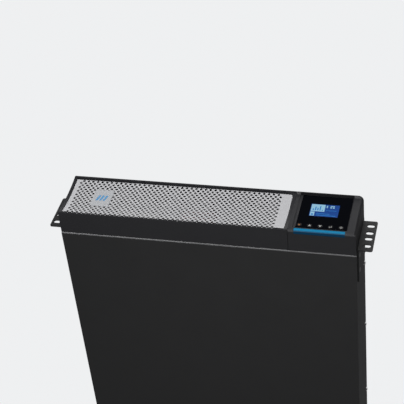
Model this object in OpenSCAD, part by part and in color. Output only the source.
// Two-unit rackmount uninterruptible power supply.
// X runs left to right as seen from the front, the front faces -Y, +Z is up.
// The origin is the centre of the rack-slot pattern, on the rack plane behind the ears.
// Modules below are drawn with z = 0 on the underside; seated() moves them into that frame.

/* [Chassis] */
// Width of the sheet-metal chassis
chassis_w = 440; // [430:1:444]
// Height of the unit: two rack units less a running gap
unit_h = 86.5; // [84:0.5:88.5]
// Depth of the chassis behind the rack plane
chassis_d = 412; // [390:1:700]
// Thickness of the painted steel sheet
sheet_t = 1.2; // [0.8:0.1:1.6]
// Outer radius of the fold along the underside's front edge
fold_r = 2.5; // [2:0.1:4]
// Height of the short flanges that hold the front plate
flange_h = 12; // [8:1:14]

/* [Rack ears] */
// Hole-to-hole distance across the rack
rack_hole_w = 465.1; // [465:0.1:465.2]
// Overall width across both ears
ear_span = 482.6; // [480:0.1:483]
// Thickness of an ear
ear_t = 2; // [1.5:0.1:3]
// Height of an ear
ear_h = 66; // [60:1:80]
// Length of the ear's leg along the chassis side
ear_leg = 58; // [50:1:120]
// Width of a rack slot
slot_w = 6.8; // [6:0.1:7.2]
// End-to-end length of a rack slot
slot_l = 11; // [8:0.1:12]
// Vertical distance between the two inner slots
slot_inner = 12.7; // [12.5:0.1:12.9]
// Vertical distance between the two outer slots
slot_outer = 44.45; // [44.25:0.05:44.65]

/* [Front] */
// How far the top lip stands in front of the rack plane
bezel_d = 40; // [36:0.5:60]
// How much further back the lower lip stands
lip_step = 2.6; // [0:0.1:5]
// Wall thickness of the moulded bezels
bezel_t = 2.5; // [1.5:0.1:3.5]
// Width of the removable front cover
cover_w = 342; // [300:1:360]
// Gap where the cover meets the display bezel
parting = 0.5; // [0.4:0.1:2]
// Radius of the bezel's outer vertical corner, in plan
corner_r = 9; // [2:0.5:12]

/* [Grille] */
// Sheet thickness of the perforated panel
panel_t = 1.2; // [0.8:0.1:2]
// Depth of the panel's hollow face at mid height
panel_sag = 3.5; // [0:0.1:5]
// Dark frame left showing at the panel's ends
panel_side = 5.4; // [3:0.1:10]
// Dark frame left showing above and below the panel
panel_lip = 2.1; // [1.5:0.1:5]
// Radius of the panel's upper right corner
panel_r = 8; // [2:0.5:15]
// Diameter of a perforation
hole_d = 3.9; // [2:0.1:4]
// Distance between holes in a row
hole_pitch = 7.3; // [6:0.1:10]
// Distance between rows
row_pitch = 4.26; // [3.6:0.02:6]
// Plain margin left of the first hole
margin_left = 7.8; // [4:0.1:15]
// Plain margin right of the last hole
margin_right = 16; // [8:0.1:30]
// Width of the badge plate
badge_w = 28.5; // [10:0.5:40]
// Height of the badge plate
badge_h = 37; // [10:0.5:60]
// Distance of the badge from the panel's left edge
badge_in = 36; // [10:0.5:80]

/* [Display] */
// Width of the tilting display module
display_w = 77.6; // [70:0.1:84]
// Clearance all round the display module
display_gap = 0.35; // [0.25:0.05:0.8]
// Depth of the display module
display_d = 14; // [12:0.5:20]
// Height of the sill under the display, which holds the light bar
sill_h = 8; // [6:0.1:14]
// Width of the bezel between the cover and the display
cheek_w = 5.7; // [5:0.1:12]
// Radius of the display's hinge pin
pin_r = 2; // [1.5:0.1:2.4]
// Running clearance round the hinge pin
pin_gap = 0.08; // [0.04:0.01:0.1]
// Width of the liquid-crystal display's visible part
lcd_w = 41; // [30:1:60]
// Height of the liquid-crystal display's visible part
lcd_h = 27; // [20:1:45]
// Distance from the window's left edge to the middle of the first button
button_in = 4.7; // [4.5:0.1:8]
// Distance from the middle of the last button to the window's right edge
button_out = 8.9; // [4.5:0.1:10]
// Width of a button's cap
button_w = 7.6; // [6.5:0.1:8]
// Height of a button's cap
button_h = 6; // [4:0.1:6.4]
// Clearance round a button's cap
button_gap = 0.3; // [0.2:0.05:0.6]
// Distance from each end of the display module to the light bar
lightbar_in = 2.55; // [1:0.05:15]

/* [Batteries] */
// Width of a battery block
block_w = 94; // [80:1:98]
// Length of a battery block
block_l = 151; // [120:1:160]
// Height of a battery block, lying on its side
block_h = 65; // [50:1:68]
// Gap between neighbouring blocks
block_gap = 1; // [0.5:0.1:3]

/* [Rear] */
// Size of the square fan frame
fan_w = 80; // [60:1:80]
// Depth of the fan
fan_d = 25; // [15:1:38]
// Clearance between the fan's blades and its frame
fan_gap = 1; // [0.6:0.1:2]
// Distance between outlets in a bank
outlet_pitch = 30; // [30:0.5:34]
// Radius of a reset button
reset_r = 3.4; // [2.5:0.1:4.5]

/* [Hidden] */
$fn = 40;
eps = 0.01;
small = 0.3;

paint = "#2c2d30";
plastic = "#34353a";
silver = "#b9babd";
gloss = "#0c0d10";
steel = "#8f9194";
copper = "#a5622d";

half_w = chassis_w / 2;
top_in = unit_h - sheet_t;
mid_z = unit_h / 2;

// Front: the bezels' hollow face, one flat for each row of holes
rows = 2 * floor((unit_h - 2 * panel_lip - hole_d) / row_pitch / 2);
panel_h = unit_h - 2 * panel_lip;
face_front = bezel_d - lip_step;
function face_y(z) = -face_front + 0.5 + panel_sag * (1 - pow((z - mid_z) / (panel_h / 2), 2));
flat_z = concat([panel_lip], [for (i = [0:rows]) mid_z + (i - rows / 2) * row_pitch], [unit_h - panel_lip]);
function band(near, far, z_list) = concat(
  [for (z = z_list) [face_y(z) + near, z]],
  [for (i = [len(z_list) - 1:-1:0]) [face_y(z_list[i]) + far, z_list[i]]]);
bezel_w = chassis_w - 2 * small;
cover_x = -bezel_w / 2;
cover_end = cover_x + cover_w;
panel_x = cover_x + panel_side;
panel_end = cover_end - panel_side;
holes_x = panel_x + margin_left;
hole_count = floor((panel_end - margin_right - holes_x) / hole_pitch) + 1;
badge_z = mid_z - badge_h / 2 + 0.25;

// Display bezel and its tilting module
dbezel_x = cover_end + parting;
dbezel_end = bezel_w / 2;
display_x = dbezel_x + cheek_w + display_gap;
display_end = display_x + display_w;
top_lip_t = 1.6;
display_top = unit_h - top_lip_t - display_gap;
display_low = sill_h + display_gap;
display_front = face_front - 0.4;
edge_r = 4;
axis_y = -display_front + edge_r;
axis_z = display_top - edge_r;
window_t = 2;
ridge_w = 3.8;
housing_t = 1.6;
window_x = display_x + ridge_w;
window_end = display_end - 0.6;
lcd_x = window_x + 0.485 * (window_end - window_x) - lcd_w / 2;
lcd_z = 50 * unit_h / 86.5 - lcd_h / 2;
button_x = window_x + button_in;
button_pitch = (window_end - button_out - button_x) / 4;
button_z = display_low + 6.4;
board_y = -display_front + 9;

// Battery drawer and bay
bay_x = -half_w + sheet_t + 9.5;
tray_w = 2 * block_w + block_gap + 2 * sheet_t + 1;
tray_l = 2 * block_l + block_gap + 2 * sheet_t + 1;
tray_z = fold_r + 0.8;
tray_y = 3.2;
block_x = bay_x + sheet_t + 0.5;
block_y = tray_y + sheet_t + 0.5;
block_z = tray_z + sheet_t;
bay_gap = 0.8;
partition_x = bay_x + tray_w + bay_gap + 0.6;
door_h = block_h + 9;
socket_x = partition_x + 22;
socket_z = 42;
socket_w = 22;
socket_h = 16;
plug_gap = 0.4;

// Rear
rear_y = chassis_d - sheet_t;
fan_x = half_w - 12 - fan_w / 2;
fan_z = mid_z;
fan_bore = fan_w - 4;
blade_r = fan_bore / 2 - fan_gap;
shaft_r = 1.5;
shaft_gap = 0.06;
inlet_x = fan_x - fan_w / 2 - 30;
inlet_z = 32;
outlet_w = 28;
outlet_h = 21;
bank_x = inlet_x - 42 - 3 * outlet_pitch;
bank_z = [22, 52];
reset_x = inlet_x;
reset_z = 62;
ext_x = -half_w + 36;
ext_z = 60;
card_x = ext_x + 26;
card_w = 100;
card_h = 32;
card_z = 44;
usb_x = ext_x - 10;
serial_x = ext_x + 24;
term_x = serial_x + 36;
port_z = 20;
recess_w = 24.6;
recess_h = 17.6;

module seated() translate([0, 0, -unit_h / 2]) children();

// Draws a (y, z) outline and extrudes it from x0 to x1
module along_x(x0, x1) translate([x0, 0, 0]) rotate([90, 0, 90])
  linear_extrude(height = x1 - x0) children();

// Draws an (x, z) outline and extrudes it from y0 back to y1
module along_y(y0, y1) translate([0, y1, 0]) rotate([90, 0, 0]) linear_extrude(height = y1 - y0) children();

module box(x0, x1, y0, y1, z0, z1) translate([x0, y0, z0]) cube([x1 - x0, y1 - y0, z1 - z0]);

// Box from y0 to y1 whose middle is at (x, z)
module box_at(x, z, w, h, y0, y1) box(x - w / 2, x + w / 2, y0, y1, z - h / 2, z + h / 2);

// Cylinder along +Y from y0 to y1
module rod_y(x, z, y0, y1, r) translate([x, y0, z]) rotate([-90, 0, 0]) cylinder(r = r, h = y1 - y0);

// Cylinder along X
module rod_x(x0, x1, y, z, r) translate([x0, y, z]) rotate([0, 90, 0]) cylinder(r = r, h = x1 - x0);

module both_sides() {
  children();
  mirror([1, 0, 0]) children();
}

// ---------- screws ----------
m4_r = 2;
m3_r = 1.5;
screw_gap = 0.2;
ear_screw_y = [16, 44];
ear_screw_z = [mid_z - 22, mid_z + 20];
cover_screw_y = [80, chassis_d / 2, chassis_d - 60];
cover_screw_z = unit_h - 10;
rear_screw_x = [-half_w + 12, card_x + card_w + 8, half_w - 6];
rear_screw_z = [5, unit_h - 5];

module countersunk_x(x, y, z, len) {
  translate([x, y, z]) rotate([0, -90, 0]) {
    cylinder(r = m4_r, h = len);
    cylinder(r1 = m4_r + 1.8, r2 = m4_r, h = ear_t - 0.2);
  }
}

module pan_head(len, r) {
  translate([0, 0, -len]) cylinder(r = r, h = len + eps);
  difference() {
    cylinder(r1 = 2 * r, r2 = 1.7 * r, h = 1.2 * r);
    for (a = [0, 90]) rotate(a) translate([-r * 1.1, -r * 0.18, 0.5 * r]) cube([r * 2.2, r * 0.36, r]);
  }
}

// ---------- chassis ----------
module folded_base() {
  translate([fold_r, 0]) square([chassis_d - fold_r, sheet_t]);
  translate([0, fold_r]) square([sheet_t, flange_h - fold_r]);
  intersection() {
    square(fold_r);
    translate([fold_r, fold_r]) difference() {
      circle(r = fold_r);
      circle(r = fold_r - sheet_t);
    }
  }
}

module side_outline() {
  translate([fold_r, 0]) square([chassis_d - fold_r, top_in]);
  translate([0, fold_r]) square([chassis_d, top_in - fold_r]);
  translate([fold_r, fold_r]) circle(r = fold_r);
}

// Latches, as shares of the cover's width; only the right-hand pair has a lower row
latch_x = [for (share = [0.116, 0.35, 0.73, 0.923]) cover_x + share * cover_w];
latch_low_x = [latch_x[2], latch_x[3]];
latch_w = 8;
latch_z = unit_h - 8.5;
latch_low_z = 8.2;

// Slots that the front cover's hooks enter
module latch_slots() {
  for (x = latch_x) box_at(x, latch_z + 0.95, latch_w + 1, 3.3, -1, 2 * sheet_t + 2);
  for (x = latch_low_x) box_at(x, latch_low_z + 0.95, latch_w + 1, 3.3, -1, 2 * sheet_t + 2);
}

module drawer_opening() {
  box(bay_x - bay_gap, bay_x + tray_w + bay_gap, -1, 10, fold_r + eps, tray_z + door_h - 2.4);
}

module chassis_tray() color(paint) seated() difference() {
  union() {
    along_x(-half_w, half_w) folded_base();
    both_sides() along_x(half_w - sheet_t, half_w) side_outline();
    box(-half_w, half_w, rear_y - sheet_t, rear_y, 0, flange_h - 3);
  }
  drawer_opening();
  box(fan_x - fan_w / 2 - 1, fan_x + fan_w / 2 + 1, rear_y - 3, rear_y + 1, sheet_t, flange_h);
  latch_slots();
  both_sides() {
    for (y = ear_screw_y) for (z = ear_screw_z) rod_x(half_w - 3, half_w + 1, y, z, m4_r + screw_gap);
    for (y = cover_screw_y) rod_x(half_w - 3, half_w + 1, y, cover_screw_z, m3_r + screw_gap);
  }
  for (x = rear_screw_x) rod_y(x, rear_screw_z[0], rear_y - 4, rear_y + 1, m3_r + screw_gap);
}

module top_cover() color(paint) seated() difference() {
  inner = half_w - sheet_t - 0.2;
  union() {
    box(-half_w, half_w, 0, chassis_d, top_in, unit_h);
    both_sides() box(inner - sheet_t, inner, 5, rear_y - sheet_t - 1, top_in - flange_h - 4, top_in + eps);
    box(-inner, inner, 0, sheet_t, top_in - flange_h + 3, top_in + eps);
    box(-inner + 8, inner - 8, rear_y - sheet_t, rear_y, top_in - flange_h, top_in + eps);
  }
  latch_slots();
  both_sides() for (y = cover_screw_y) rod_x(half_w - 6, half_w + 1, y, cover_screw_z, m3_r + screw_gap);
  for (x = rear_screw_x) rod_y(x, rear_screw_z[1], rear_y - 4, rear_y + 1, m3_r + screw_gap);
  box(fan_x - fan_w / 2 - 1, fan_x + fan_w / 2 + 1, rear_y - sheet_t - 1, rear_y + 1, 0, top_in - small);
}

intake_pitch = 8;
module front_plate() color(steel) seated() difference() {
  box(-half_w + sheet_t + small, half_w - sheet_t - small, sheet_t, 2 * sheet_t, fold_r + small,
    top_in - small);
  drawer_opening();
  latch_slots();
  // air intake slots beside the battery bay
  for (x = [partition_x + 40:intake_pitch:dbezel_x - 12])
    for (z = [flange_h + 4, mid_z + 4]) box(x, x + 4, 0, 5, z, z + 24);
  // display harness
  rod_y((display_x + display_end) / 2, mid_z, 0, 5, 9);
  // battery socket
  box_at(socket_x, socket_z, socket_w, socket_h, 0, 5);
  for (z = tray_screw_z) rod_y(tray_screw_x[1], z, 0, 5, m3_r + screw_gap);
  for (z = tray_screw_z) rod_y(tray_screw_x[0], z, 0, 5, m3_r + screw_gap);
}

module bay_partition() color(steel) seated() {
  box(partition_x, partition_x + sheet_t, 2 * sheet_t + 0.6, tray_y + tray_l + 12, sheet_t, top_in - small);
  box(partition_x, partition_x + 10, 2 * sheet_t + 2, tray_y + tray_l + 12, sheet_t, 2 * sheet_t);
  // end stop behind the drawer
  box(bay_x, partition_x, tray_y + tray_l + 3, tray_y + tray_l + 3 + sheet_t, sheet_t, 40);
}

module ear() difference() {
  low = mid_z - ear_h / 2;
  union() {
    along_y(-ear_t, 0) difference() {
      translate([half_w, low]) square([ear_span / 2 - half_w, ear_h]);
      for (s = [-1, 1]) translate([ear_span / 2 - 3, mid_z + s * (ear_h / 2 - 3)]) difference() {
        translate([0, s > 0 ? 0 : -3.1]) square([3.1, 3.1]);
        circle(r = 3);
      }
    }
    box(half_w, half_w + ear_t, -ear_t, ear_leg, low, low + ear_h);
  }
  for (d = [slot_inner, slot_outer]) for (s = [-1, 1]) rack_slot(mid_z + s * d / 2);
  for (y = ear_screw_y) for (z = ear_screw_z) {
    rod_x(half_w - 1, half_w + ear_t + 1, y, z, m4_r + screw_gap);
    translate([half_w + ear_t, y, z]) rotate([0, -90, 0])
      cylinder(r1 = m4_r + 1.8 + screw_gap, r2 = m4_r + screw_gap, h = ear_t - 0.2);
  }
}

module rack_slot(z) along_y(-ear_t - 1, 1) translate([rack_hole_w / 2, z]) {
  square([slot_l - slot_w, slot_w], center = true);
  for (s = [-1, 1]) translate([s * (slot_l - slot_w) / 2, 0]) circle(r = slot_w / 2);
}

module left_ear() color(paint) seated() mirror([1, 0, 0]) ear();
module right_ear() color(paint) seated() ear();

module ear_screws() color(steel) seated() both_sides()
  for (y = ear_screw_y) for (z = ear_screw_z) countersunk_x(half_w + ear_t, y, z, ear_t + sheet_t + 2);

module cover_screws() color(steel) seated() both_sides()
  for (y = cover_screw_y) translate([half_w, y, cover_screw_z]) rotate([0, 90, 0]) pan_head(5, m3_r);

module rear_screws() color(steel) seated()
  for (x = rear_screw_x) for (z = rear_screw_z)
    translate([x, chassis_d, z]) rotate([-90, 0, 0]) pan_head(5, m3_r);

// ---------- removable front cover ----------
// Side section shared by both bezels: lips in front of a hollow face
module bezel_section() {
  back = -small;
  polygon(concat(
    [[back, 0.4], [-face_front + 2.4, 0.4], [-face_front, 1.4]],
    [for (z = flat_z) [face_y(z) - 0.5, z]],
    [[-bezel_d, unit_h - panel_lip + 0.4], [-bezel_d, unit_h - 0.6], [-bezel_d + 0.6, unit_h], [back,
      unit_h]]));
}

// Plan outline with rounded outer corners
module plan(x0, x1, r_left, r_right) translate([0, 0, -1])
  linear_extrude(height = unit_h + 2) difference() {
  translate([x0, -bezel_d - 1]) square([x1 - x0, bezel_d + 1]);
  if (r_left > 0) plan_corner(x0, 1, r_left);
  if (r_right > 0) plan_corner(x1, -1, r_right);
}

module plan_corner(x, s, r) difference() {
  translate([s > 0 ? x - 1 : x - r, -bezel_d - 2]) square([r + 1, r + 2]);
  translate([x + s * r, -bezel_d + r]) circle(r = r);
}

// Panel outline in (x, z), grown by g all round
module panel_outline(g) difference() {
  r = panel_r + g;
  translate([panel_x - g, panel_lip - g]) square([panel_end - panel_x + 2 * g, panel_h + 2 * g]);
  translate([panel_end + g - r, unit_h - panel_lip + g - r]) difference() {
    square(r + 1);
    circle(r = r);
  }
}

module latch(x, z, up) {
  box(x - latch_w / 2, x + latch_w / 2, -14, 2 * sheet_t + 1.6, z, z + 1.6);
  box(x - latch_w / 2, x + latch_w / 2, -14, -5, up ? z : bezel_t, up ? unit_h - bezel_t + eps : z + 1);
}

module cover_frame() color(plastic) seated() {
  difference() {
    intersection() {
      along_x(cover_x, cover_end) bezel_section();
      plan(cover_x, cover_end, 3, 0);
    }
    // pocket that the panel drops into
    intersection() {
      along_x(cover_x, cover_end) polygon(band(-10, panel_t + 0.1, flat_z));
      along_y(-bezel_d - 1, 0) panel_outline(0.2);
    }
    // window behind the panel
    along_y(-bezel_d - 1, 1) panel_outline(-2.6);
    // hollow behind the ledge
    box(cover_x + bezel_t, cover_end - bezel_t, -face_front + panel_sag + 4.2, 1, bezel_t,
      unit_h - bezel_t);
  }
  for (x = latch_x) latch(x, latch_z, true);
  for (x = latch_low_x) latch(x, latch_low_z, false);
}

module grille_panel() color(silver) seated() difference() {
  intersection() {
    along_x(panel_x, panel_end) polygon(band(0, panel_t, flat_z));
    along_y(-bezel_d - 1, 0) panel_outline(0);
  }
  for (row = [0:rows - 1]) {
    short = row % 2;
    z = mid_z + (row - (rows - 1) / 2) * row_pitch;
    for (i = [0:hole_count - 1 - short])
      rod_y(holes_x + (i + short / 2) * hole_pitch, z, -bezel_d, -bezel_d + 14, hole_d / 2, $fn = 20);
  }
}

module badge() color("#c9cfd4") seated() intersection() {
  along_x(panel_x + badge_in, panel_x + badge_in + badge_w) polygon(band(-1.2, 0, flat_z));
  box(panel_x + badge_in, panel_x + badge_in + badge_w, -bezel_d, 0, badge_z, badge_z + badge_h);
}

// ---------- display bezel and tilting display ----------
module display_bezel() color(plastic) seated() difference() {
  intersection() {
    along_x(dbezel_x, dbezel_end) polygon([
      [0, 0.4], [-face_front + 2.4, 0.4], [-face_front, 2.4], [-face_front, unit_h - panel_lip - 2],
      [-bezel_d, unit_h - panel_lip + 0.4], [-bezel_d, unit_h - 0.6], [-bezel_d + 0.6, unit_h], [0,
        unit_h]]);
    plan(dbezel_x, dbezel_end, 0, corner_r);
  }
  // pocket for the display module
  box(display_x - display_gap, display_end + display_gap, -bezel_d - 1, 1, sill_h, unit_h - top_lip_t);
  // hollow behind the cheek
  box(display_end + display_gap + 4, dbezel_end - bezel_t, -bezel_d + corner_r + 8, 1, bezel_t,
    unit_h - bezel_t);
  // bores for the hinge pins
  rod_x(display_x - display_gap - pin_len - 0.4, display_end + display_gap + pin_len + 0.4, axis_y,
    axis_z, pin_r + pin_gap);
  // slot for the light bar, open to the front and to the lower bevel
  box(bar_x - 0.2, bar_x + lightbar_w + 0.2, -bezel_d, -face_front + 6.2, -1, bar_top + 0.2);
}

pin_len = 3.2;
bar_x = display_x + lightbar_in;
lightbar_w = display_w - 2 * lightbar_in;
bar_top = sill_h - 1.2;
module light_bar() color("#7fd0f0") seated() along_x(bar_x, bar_x + lightbar_w) polygon([
  [-face_front + 6, 0.6], [-face_front + 2.4, 0.6], [-face_front - 0.1, 2.7], [-face_front - 0.1,
    bar_top - 0.8],
  [-face_front + 0.7, bar_top], [-face_front + 6, bar_top]]);

// Side section of the module: a flat front whose top edge rolls round the hinge axis
module module_section(inset) {
  front = -display_front + inset;
  back = -display_front + display_d - inset;
  r = edge_r - inset;
  polygon([[front, display_low + inset], [back - 4, display_low + inset + 0.6], [back,
    display_low + inset + 5],
    [back, axis_z + r], [axis_y, axis_z + r], [axis_y, axis_z], [front, axis_z]]);
  translate([axis_y, axis_z]) circle(r = r);
}

module display_housing() color(plastic) seated() {
  difference() {
    along_x(display_x, display_end) module_section(0);
    // seat for the window
    box(window_x - 0.1, window_end + 0.1, -bezel_d, -display_front + window_t, display_low - 1, axis_z);
    along_x(window_x - 0.1, window_end + 0.1) difference() {
      intersection() {
        translate([axis_y, axis_z]) circle(r = edge_r + 1);
        translate([axis_y - edge_r - 1, axis_z - eps]) square(edge_r + 1 + 2 * eps);
      }
      translate([axis_y, axis_z]) circle(r = edge_r - window_t);
    }
    // hollow for the display and its board, closed by the back wall
    box(display_x + housing_t, display_end - housing_t, -display_front + window_t - 1,
      -display_front + display_d - 1.6,
      display_low + 2.6, axis_z - 3);
  }
  rod_x(display_x - display_gap - pin_len, display_x + eps, axis_y, axis_z, pin_r);
  rod_x(display_end - eps, display_end + display_gap + pin_len, axis_y, axis_z, pin_r);
}

module button_outline(x, g) translate([x, button_z]) {
  w = button_w - button_h;
  square([w, button_h + 2 * g], center = true);
  for (s = [-1, 1]) translate([s * w / 2, 0]) circle(r = button_h / 2 + g);
}

module display_window() color(gloss) seated() difference() {
  union() {
    box(window_x, window_end, -display_front, -display_front + window_t - 0.1, display_low, axis_z);
    along_x(window_x, window_end) intersection() {
      translate([axis_y, axis_z]) difference() {
        circle(r = edge_r);
        circle(r = edge_r - window_t + 0.1);
      }
      translate([axis_y - edge_r - 1, axis_z - eps]) square(edge_r + 1 + eps);
    }
  }
  for (i = [0:4]) along_y(-bezel_d, -display_front + window_t + 1)
    button_outline(button_x + i * button_pitch, button_gap);
}

module lcd_module() color("#2f7fd0") seated() {
  y = -display_front + window_t;
  x = lcd_x + lcd_w / 2;
  z = lcd_z + lcd_h / 2;
  box_at(x, z, lcd_w, lcd_h, y, y + 0.4);
  box_at(x, z, lcd_w + 8, lcd_h + 8, y + 0.4, y + 4.2);
}

module display_board() color("#1f5a3a") seated() {
  box(display_x + housing_t + 0.4, display_end - housing_t - 0.4, board_y, board_y + 1.6,
    display_low + 3, axis_z - 3.4);
  // tact switches under the buttons
  for (i = [0:4]) box_at(button_x + i * button_pitch, button_z, 6, 6, board_y - 1.2, board_y + eps);
  // wire header towards the chassis
  box(lcd_x + 8, lcd_x + 24, board_y - 2.4, board_y + eps, axis_z - 14, axis_z - 8);
}

button_travel = 0.8;
module button(i) color(gloss) seated() {
  x = button_x + i * button_pitch;
  along_y(-display_front - 0.25, -display_front + 3.4) button_outline(x, 0);
  rod_y(x, button_z, -display_front + 3.3, board_y - 1.2 - button_travel - 0.3, 1.6);
}
module button_escape() button(0);
module button_up() button(1);
module button_down() button(2);
module button_enter() button(3);
module button_power() button(4);

// ---------- battery drawer ----------
tray_screw_x = [bay_x - 3.2, bay_x + tray_w + 5.4];
tray_screw_z = [tray_z + 14, tray_z + door_h - 14];
door_x = bay_x - 7;
door_end = bay_x + tray_w + 9.2;
door_back = -0.25;
lead_x = bay_x + tray_w - 26;
lead_z = socket_z;

module battery_tray() color(steel) seated() difference() {
  union() {
    box(bay_x, bay_x + tray_w, door_back - eps, tray_y + tray_l, tray_z, tray_z + sheet_t);
    for (x = [bay_x, bay_x + tray_w - sheet_t])
      box(x, x + sheet_t, door_back - eps, tray_y + tray_l, tray_z, tray_z + 34);
    box(bay_x, bay_x + tray_w, tray_y + tray_l - sheet_t, tray_y + tray_l, tray_z, tray_z + 34);
    box(door_x, door_end, door_back - sheet_t, door_back, tray_z, tray_z + door_h);
  }
  for (x = tray_screw_x) for (z = tray_screw_z) rod_y(x, z, -4, 1, m3_r + screw_gap);
  // openings for the leads and for the pull tab
  rod_y(lead_x, lead_z + 6, -4, 1, 5);
  rod_y(lead_x, lead_z - 6, -4, 1, 5);
  for (x = pull_x) box(x - 1.6, x + 1.6, -4, 1, pull_z - 8, pull_z + 8);
}

function block_at(i) = [block_x + (i % 2) * (block_w + block_gap),
  block_y + floor(i / 2) * (block_l + block_gap), block_z];

module battery_block(i) color("#3b3c40") seated() translate(block_at(i)) {
  difference() {
    cube([block_w, block_l, block_h]);
    // lid joint round the terminal end
    translate([-1, 12, -1]) cube([1.5, 1, block_h + 2]);
    translate([block_w - 0.5, 12, -1]) cube([1.5, 1, block_h + 2]);
    translate([-1, 12, block_h - 0.5]) cube([block_w + 2, 1, 1]);
  }
  // flat terminals on top of the block, clear of the drawer's front
  for (x = [16, block_w - 16]) translate([x - 3.2, 3, block_h - eps]) cube([6.4, 0.8, 4]);
}
module battery_block_1() battery_block(0);
module battery_block_2() battery_block(1);
module battery_block_3() battery_block(2);
module battery_block_4() battery_block(3);

link_r = 1.6;
link_z = block_z + block_h + 2.2;
// Link wires that join the blocks in series, lying on top of them
module battery_links() color("#b5291f") seated() {
  b = [for (i = [0:3]) block_at(i)];
  rod_x(b[0][0] + block_w - 16 + 3.3, b[1][0] + 16 - 3.3, b[0][1] + 3.4, link_z, link_r);
  rod_x(b[2][0] + block_w - 16 + 3.3, b[3][0] + 16 - 3.3, b[2][1] + 3.4, link_z, link_r);
  rod_y(b[0][0] + 16, link_z, b[0][1] + 3.9, b[2][1] + 2.9, link_r);
}

lead_r = 2.6;
lead_out = -15;
bend_r = 8;
plug_x = socket_x;
// One lead: out through the drawer's front, a bend across, and a bend back into the plug
module lead(z) {
  translate([lead_x, lead_out + bend_r - 1, z]) {
    rotate([-90, 0, 0]) cylinder(r = lead_r, h = block_y - lead_out - bend_r + 1);
    translate([bend_r, 0, 0]) rotate([0, 0, 180]) rotate_extrude(angle = 90)
      translate([bend_r, 0]) circle(r = lead_r);
  }
  rod_x(lead_x + bend_r, plug_x - bend_r, lead_out - 1, z, lead_r);
  translate([plug_x - bend_r, lead_out + bend_r - 1, z]) rotate([0, 0, -90]) rotate_extrude(angle = 90)
    translate([bend_r, 0]) circle(r = lead_r);
}
module battery_leads() color("#b5291f") seated() {
  lead(lead_z + 6);
  lead(lead_z - 6);
}

module battery_plug() color("#7c8288") seated() {
  y = lead_out + bend_r - 1;
  box_at(plug_x, lead_z, socket_w - 2, 18.8, y, y + 6);
  box_at(plug_x, lead_z, socket_w - 4 - 2 * plug_gap, socket_h - 3.2 - 2 * plug_gap, y + 6 - eps, 8);
}

module battery_socket() color("#7c8288") seated() difference() {
  union() {
    box_at(socket_x, socket_z, socket_w - 0.4, socket_h - 0.4, -0.8, 16);
    box_at(socket_x, socket_z, socket_w + 4, socket_h + 4, 2 * sheet_t, 2 * sheet_t + 2);
  }
  box_at(socket_x, socket_z, socket_w - 4, socket_h - 3.2, -3, 10);
}

pull_x = [bay_x + tray_w / 2 - 34, bay_x + tray_w / 2 + 34];
pull_z = tray_z + door_h / 2;
pull_out = -9;
// Webbing strap looped through the drawer's front
module pull_tab() color("#d8d9da") seated() {
  box(pull_x[0] - 1, pull_x[1] + 1, pull_out - 1, pull_out, pull_z - 7, pull_z + 7);
  for (x = pull_x) box(x - 1, x + 1, pull_out - 1, 1.2, pull_z - 7, pull_z + 7);
  for (i = [0, 1]) box(pull_x[i] - (i ? -1 : 9), pull_x[i] + (i ? 9 : -1), 0, 1.2, pull_z - 7, pull_z + 7);
}

module tray_screws() color(steel) seated()
  for (x = tray_screw_x) for (z = tray_screw_z)
    translate([x, door_back - sheet_t, z]) rotate([90, 0, 0]) pan_head(6, m3_r);

// ---------- electronics ----------
board_x = partition_x + 16;
board_end = half_w - 10;
board_front = 40;
board_rear = chassis_d - 62;
board_z = 10;
board_t = 1.6;
board_top = board_z + board_t;
standoff_x = [board_x + 6, board_end - 6];
standoff_y = [board_front + 6, (board_front + board_rear) / 2, board_rear - 6];

module main_board() color("#1f5a3a") seated() difference() {
  box(board_x, board_end, board_front, board_rear, board_z, board_top);
  for (x = standoff_x) for (y = standoff_y) translate([x, y, 0]) cylinder(r = m3_r + screw_gap, h = 20);
}

module board_standoffs() color(steel) seated() for (x = standoff_x) for (y = standoff_y)
  translate([x, y, sheet_t]) {
  cylinder(r = 3, h = board_z - sheet_t, $fn = 6);
  cylinder(r = m3_r, h = board_top - sheet_t);
  translate([0, 0, board_top - sheet_t]) cylinder(r = 2.8, h = 1.6);
}

fin_pitch = 6;
module heatsink(x, y, l) color("#9a9ca0") seated() translate([x, y, board_top]) {
  cube([5, l, 56]);
  for (z = [2:fin_pitch:52]) translate([5 - eps, 0, z]) cube([22, l, 1.6]);
}
sink_x = [board_x + 22, board_x + 99];
sink_y = board_front + 30;
sink_l = 120;
module heatsink_1() heatsink(sink_x[0], sink_y, sink_l);
module heatsink_2() heatsink(sink_x[1], sink_y, sink_l);

// Toroidal choke: a ring core with a winding of thick turns
module choke(x, y, turns) color(copper) seated() translate([x, y, board_top + 11]) {
  rotate_extrude() translate([15, 0]) square([10, 14], center = true);
  for (i = [0:turns - 1]) rotate(i * 360 / turns) translate([15, 0, 0]) rotate([90, 0, 0])
    linear_extrude(height = 2.2, center = true) difference() {
      square([14, 20], center = true);
      square([9, 13], center = true);
    }
}
choke_x = board_x + 160;
module choke_1() choke(choke_x, sink_y + 22, 20);
module choke_2() choke(choke_x, sink_y + 78, 20);

module transformer() color("#c8a24a") seated() translate([board_x + 30, sink_y + sink_l + 16, board_top]) {
  difference() {
    cube([52, 46, 44]);
    translate([9, -1, 9]) cube([34, 48, 26]);
  }
  translate([10, -4, 10]) cube([32, 54, 24]);
}

module capacitors() color("#20304a") seated() for (i = [0:5])
  translate([board_x + 62 + (i % 2) * 23.5, sink_y + 12 + floor(i / 2) * 26, board_top])
    cylinder(r = 11, h = 46);

module relays() color("#20242c") seated() for (i = [0:3])
  translate([board_x + 100 + i * 20, board_rear - 40, board_top]) cube([13, 29, 22]);

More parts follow.
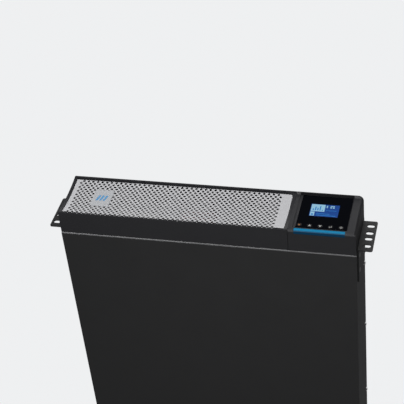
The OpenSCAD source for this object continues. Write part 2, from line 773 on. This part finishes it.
// ---------- fan ----------
fan_y = rear_y - 0.2 - fan_d;
module fan_frame() color("#17181a") seated() {
  difference() {
    box(fan_x - fan_w / 2, fan_x + fan_w / 2, fan_y, fan_y + fan_d, fan_z - fan_w / 2, fan_z + fan_w / 2);
    rod_y(fan_x, fan_z, fan_y - 1, fan_y + fan_d + 1, fan_bore / 2);
    for (sx = [-1, 1]) for (sz = [-1, 1])
      rod_y(fan_x + sx * (fan_w / 2 - 4.2), fan_z + sz * (fan_w / 2 - 4.2), fan_y - 1,
        fan_y + fan_d + 1, 2.1);
  }
  difference() {
    union() {
      rod_y(fan_x, fan_z, fan_y + fan_d - 3.4, fan_y + fan_d - 0.4, 17);
      rod_y(fan_x, fan_z, fan_y + fan_d - 10, fan_y + fan_d - 2, 4);
      for (a = [20, 140, 260]) translate([fan_x, fan_y + fan_d - 3, fan_z]) rotate([0, a, 0])
        translate([15, 0, -2]) cube([fan_bore / 2 - 14, 2.2, 4]);
    }
    rod_y(fan_x, fan_z, fan_y + fan_d - 11, fan_y + fan_d - 1, shaft_r + shaft_gap);
  }
}

blades = 7;
module fan_rotor() color("#232427") seated() translate([fan_x, fan_y + 2, fan_z]) rotate([-90, 0, 0]) {
  difference() {
    cylinder(r = 17, h = fan_d - 7);
    translate([0, 0, 2]) cylinder(r = 15, h = fan_d);
  }
  cylinder(r = shaft_r, h = fan_d - 4);
  intersection() {
    for (i = [0:blades - 1]) rotate(i * 360 / blades) rotate([42, 0, 0])
      translate([16, -9, 7]) cube([24, 20, 1.4]);
    difference() {
      translate([0, 0, 0.5]) cylinder(r = blade_r, h = fan_d - 8);
      translate([0, 0, 1]) cylinder(r = 16, h = fan_d);
    }
  }
}

guard_r = 0.9;
guard_pitch = 7.6;
// Wire guard behind the fan: rings welded to two flat cross bars
module fan_guard() color(steel) seated()
  translate([fan_x, chassis_d + 2 * guard_r, fan_z]) rotate([90, 0, 0]) {
  for (r = [12:guard_pitch:blade_r + 2]) rotate_extrude() translate([r, 0]) circle(r = guard_r, $fn = 16);
  for (a = [45, 135]) rotate(a)
    translate([-fan_w / 2 - 8, -guard_r, 0.35]) cube([fan_w + 16, 2 * guard_r, 1.3]);
}

// ---------- rear connectors ----------
module rear_cut(x, z, w, h) box_at(x, z, w, h, rear_y - 1, chassis_d + 1);

module rear_panel() color(paint) seated() difference() {
  box(-half_w + sheet_t + small, half_w - sheet_t - small, rear_y, chassis_d, sheet_t + small,
    top_in - small);
  rod_y(fan_x, fan_z, rear_y - 1, chassis_d + 1, blade_r);
  rear_cut(inlet_x, inlet_z, 32, 25);
  for (z = bank_z) rear_cut(bank_x + 1.5 * outlet_pitch, z, 4 * outlet_pitch - 1, outlet_h + 1);
  rod_y(reset_x, reset_z, rear_y - 1, chassis_d + 1, 6.2);
  rear_cut(ext_x, ext_z, 44, 22);
  rear_cut(usb_x, port_z, 13, 12);
  rear_cut(serial_x, port_z, 32, 12);
  rear_cut(term_x, port_z, 31, 11);
  for (x = rear_screw_x) for (z = rear_screw_z) rod_y(x, z, rear_y - 1, chassis_d + 1, m3_r + screw_gap);
  for (x = card_screw_x) rod_y(x, card_z + card_h / 2, rear_y - 1, chassis_d + 1, m3_r + screw_gap);
  rear_cut(card_x + card_w / 2, card_z + card_h / 2, card_w - 22, card_h - 6);
  rod_y(ground_x, ground_z, rear_y - 1, chassis_d + 1, m4_r + screw_gap);
}

// Earthed outlet: a core with three slots inside a recess
module outlet_face(x, z) difference() {
  box_at(x, z, outlet_w, outlet_h, rear_y - 24, chassis_d + 1.6);
  difference() {
    box_at(x, z, recess_w, recess_h, chassis_d - 15, chassis_d + 3);
    box_at(x, z, 16.4, 10, rear_y - 24, chassis_d + 1.2);
  }
  for (s = [-1, 1]) box(x + s * 5 - 1.2, x + s * 5 + 1.2, chassis_d - 14, chassis_d + 3, z - 1, z + 3.5);
  box(x - 1.2, x + 1.2, chassis_d - 14, chassis_d + 3, z - 4, z + 0.5);
}

module outlet_bank(z) color("#101113") seated() {
  for (i = [0:3]) outlet_face(bank_x + i * outlet_pitch, z);
  for (i = [0.5:2.5]) box_at(bank_x + i * outlet_pitch, z, outlet_pitch - outlet_w + 2 * eps, outlet_h,
    chassis_d - 8, chassis_d + 0.6);
}
module outlet_bank_1() outlet_bank(bank_z[0]);
module outlet_bank_2() outlet_bank(bank_z[1]);

module power_inlet() color("#101113") seated() {
  difference() {
    union() {
      box_at(inlet_x, inlet_z, 31, 24, rear_y - 22, chassis_d + eps);
      box_at(inlet_x, inlet_z, 50, 28, chassis_d, chassis_d + 2.4);
    }
    box_at(inlet_x, inlet_z, recess_w, recess_h, chassis_d - 15, chassis_d + 4);
    for (s = [-1, 1]) rod_y(inlet_x + s * 20, inlet_z, chassis_d - 1, chassis_d + 4, m3_r + screw_gap);
  }
  for (p = [[-7, 0.1], [7, 0.1], [0, -4.3]])
    box_at(inlet_x + p[0], inlet_z + p[1], 2, 4.2, chassis_d - 16, chassis_d + 0.5);
}

reset_travel = 2.5;
module reset_body() color("#101113") seated() difference() {
  union() {
    rod_y(reset_x, reset_z, rear_y - 20, chassis_d + 4, 6);
    translate([reset_x, chassis_d + eps, reset_z]) rotate([-90, 0, 0]) cylinder(r = 8.2, h = 2.6, $fn = 6);
    box(reset_x - 8, reset_x + 8, rear_y - 30, rear_y - 8, reset_z - 9, reset_z + 9);
  }
  rod_y(reset_x, reset_z, chassis_d - 9, chassis_d + 6, reset_r + 0.35);
}

module reset_button() color("#1c1c1e") seated() {
  rod_y(reset_x, reset_z, chassis_d - 9 + reset_travel + 0.5, chassis_d + 6.6, reset_r);
}

module usb_port() color(silver) seated() difference() {
  box(usb_x - 6, usb_x + 6, rear_y - 14, chassis_d + 0.6, port_z - 5.5, port_z + 5.5);
  difference() {
    box(usb_x - 4.3, usb_x + 4.3, chassis_d - 9, chassis_d + 1, port_z - 3.9, port_z + 3.9);
    box(usb_x - 2.8, usb_x + 2.8, chassis_d - 10, chassis_d - 0.6, port_z - 1.6, port_z + 1.6);
  }
}

module serial_outline(wide, narrow, high) translate([serial_x, port_z])
  polygon([[-wide, high], [wide, high], [narrow, -high], [-narrow, -high]]);

module serial_port() color(silver) seated() {
  box(serial_x - 15.4, serial_x + 15.4, rear_y - 10, chassis_d + 0.4, port_z - 5.5, port_z + 5.5);
  difference() {
    along_y(chassis_d, chassis_d + 5.4) serial_outline(8.5, 7.3, 4.2);
    along_y(chassis_d + 3, chassis_d + 6) serial_outline(7.9, 6.8, 3.6);
  }
  for (s = [-1, 1]) rod_y(serial_x + s * 12.4, port_z, chassis_d + 0.3, chassis_d + 4.6, 2.4, $fn = 6);
}

module terminal_blocks() color("#2e8b57") seated() difference() {
  box(term_x - 15, term_x + 15, rear_y - 10, chassis_d + 3, port_z - 5, port_z + 5);
  for (i = [0:5]) {
    box_at(term_x - 12 + i * 4.8, port_z - 2.2, 3.2, 3.6, chassis_d - 3, chassis_d + 4);
    rod_y(term_x - 12 + i * 4.8, port_z + 2.4, chassis_d + 1, chassis_d + 4, 1.3, $fn = 16);
  }
}

card_screw_x = [card_x + 5, card_x + card_w - 5];
module card_slot_cover() color(paint) seated() {
  difference() {
    union() {
      box(card_x, card_x + card_w, chassis_d, chassis_d + sheet_t, card_z, card_z + card_h);
      box_at(card_x + card_w / 2, card_z + card_h - sheet_t / 2, 24, sheet_t, chassis_d, chassis_d + 6);
    }
    for (x = card_screw_x) rod_y(x, card_z + card_h / 2, chassis_d - 1, chassis_d + 3, m3_r + screw_gap);
  }
  for (x = card_screw_x)
    translate([x, chassis_d + sheet_t, card_z + card_h / 2]) rotate([-90, 0, 0]) pan_head(4, m3_r);
}

module extension_socket() color("#3d4f6b") seated() difference() {
  union() {
    box_at(ext_x, ext_z, 43.2, 21.2, rear_y - 26, chassis_d + 3);
    box_at(ext_x, ext_z, 48, 25.2, chassis_d, chassis_d + 1.6);
  }
  for (s = [-1, 1]) box_at(ext_x + s * 10, ext_z, 16, 16, chassis_d - 19, chassis_d + 4);
}

ground_x = inlet_x - 20;
ground_z = 13.4;
module ground_stud() color("#c9b037") seated() {
  rod_y(ground_x, ground_z, rear_y - 6, chassis_d + 10, m4_r);
  rod_y(ground_x, ground_z, chassis_d, chassis_d + 3, 4, $fn = 6);
}

chassis_tray();
top_cover();
front_plate();
bay_partition();
rear_panel();
left_ear();
right_ear();
ear_screws();
cover_screws();
rear_screws();
cover_frame();
grille_panel();
badge();
display_bezel();
display_housing();
display_window();
lcd_module();
display_board();
light_bar();
button_escape();
button_up();
button_down();
button_enter();
button_power();
battery_tray();
battery_block_1();
battery_block_2();
battery_block_3();
battery_block_4();
battery_links();
battery_leads();
battery_plug();
battery_socket();
pull_tab();
tray_screws();
main_board();
board_standoffs();
heatsink_1();
heatsink_2();
choke_1();
choke_2();
transformer();
capacitors();
relays();
fan_frame();
fan_rotor();
fan_guard();
outlet_bank_1();
outlet_bank_2();
power_inlet();
reset_body();
reset_button();
usb_port();
serial_port();
terminal_blocks();
card_slot_cover();
extension_socket();
ground_stud();
